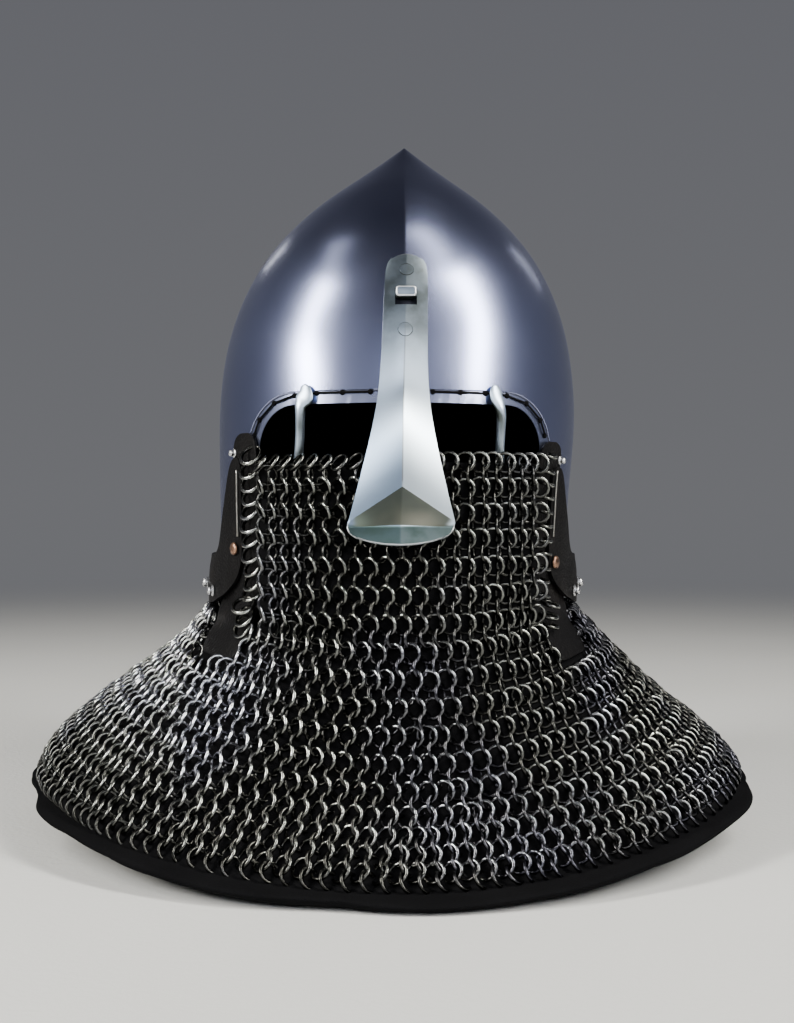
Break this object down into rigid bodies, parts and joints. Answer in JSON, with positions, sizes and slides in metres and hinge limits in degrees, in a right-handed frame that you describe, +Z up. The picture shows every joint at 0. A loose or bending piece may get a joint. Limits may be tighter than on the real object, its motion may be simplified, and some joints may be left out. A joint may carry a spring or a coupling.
{
  "type": "bascinet",
  "caption": "Pointed steel bascinet with a medial ridge, a keeled open-tipped nasal on the brow, leather edging with studs and a mail aventail over a black padded lining",
  "frame": {"origin": "middle of the outline seen from above, on the plane the hem rests on", "axes": "+X to the right as the face is seen, the face looks along -Y, +Z up"},
  "size_m": [0.468, 0.4306, 0.452],
  "materials": {
    "polished_steel": "satin polished steel",
    "satin_steel": "fine brushed steel",
    "bright_bar": "bright round bar",
    "black_leather": "black leather with a raised cut edge",
    "silver_stud": "bright stud",
    "thin_rod": "thin brass-toned rod",
    "copper": "copper",
    "dark_mail": "oiled dark mail",
    "black_cloth": "black padded cloth"
  },
  "bodies": {
    "root": {"skull": "polished_steel", "nasal": "satin_steel", "nasal_rivet_upper": "satin_steel", "nasal_rivet_lower": "satin_steel", "nasal_staple": "satin_steel", "guard_bar_left": "bright_bar", "guard_bar_right": "bright_bar", "leather_band": "black_leather", "leather_flap_left": "black_leather", "leather_flap_right": "black_leather", "vervelle_upper_left": "silver_stud", "vervelle_upper_right": "silver_stud", "vervelle_side_left": "silver_stud", "vervelle_side_right": "silver_stud", "vervelle_front_left": "silver_stud", "vervelle_front_right": "silver_stud", "vervelle_b1_left": "silver_stud", "vervelle_b1_right": "silver_stud", "vervelle_b2_left": "silver_stud", "vervelle_b2_right": "silver_stud", "vervelle_b3_left": "silver_stud", "vervelle_b3_right": "silver_stud", "vervelle_rod_left": "thin_rod", "vervelle_rod_right": "thin_rod", "copper_rivet_left": "copper", "copper_rivet_right": "copper", "mail": "dark_mail", "mantle_lining": "black_cloth"}
  },
  "joints": []
}
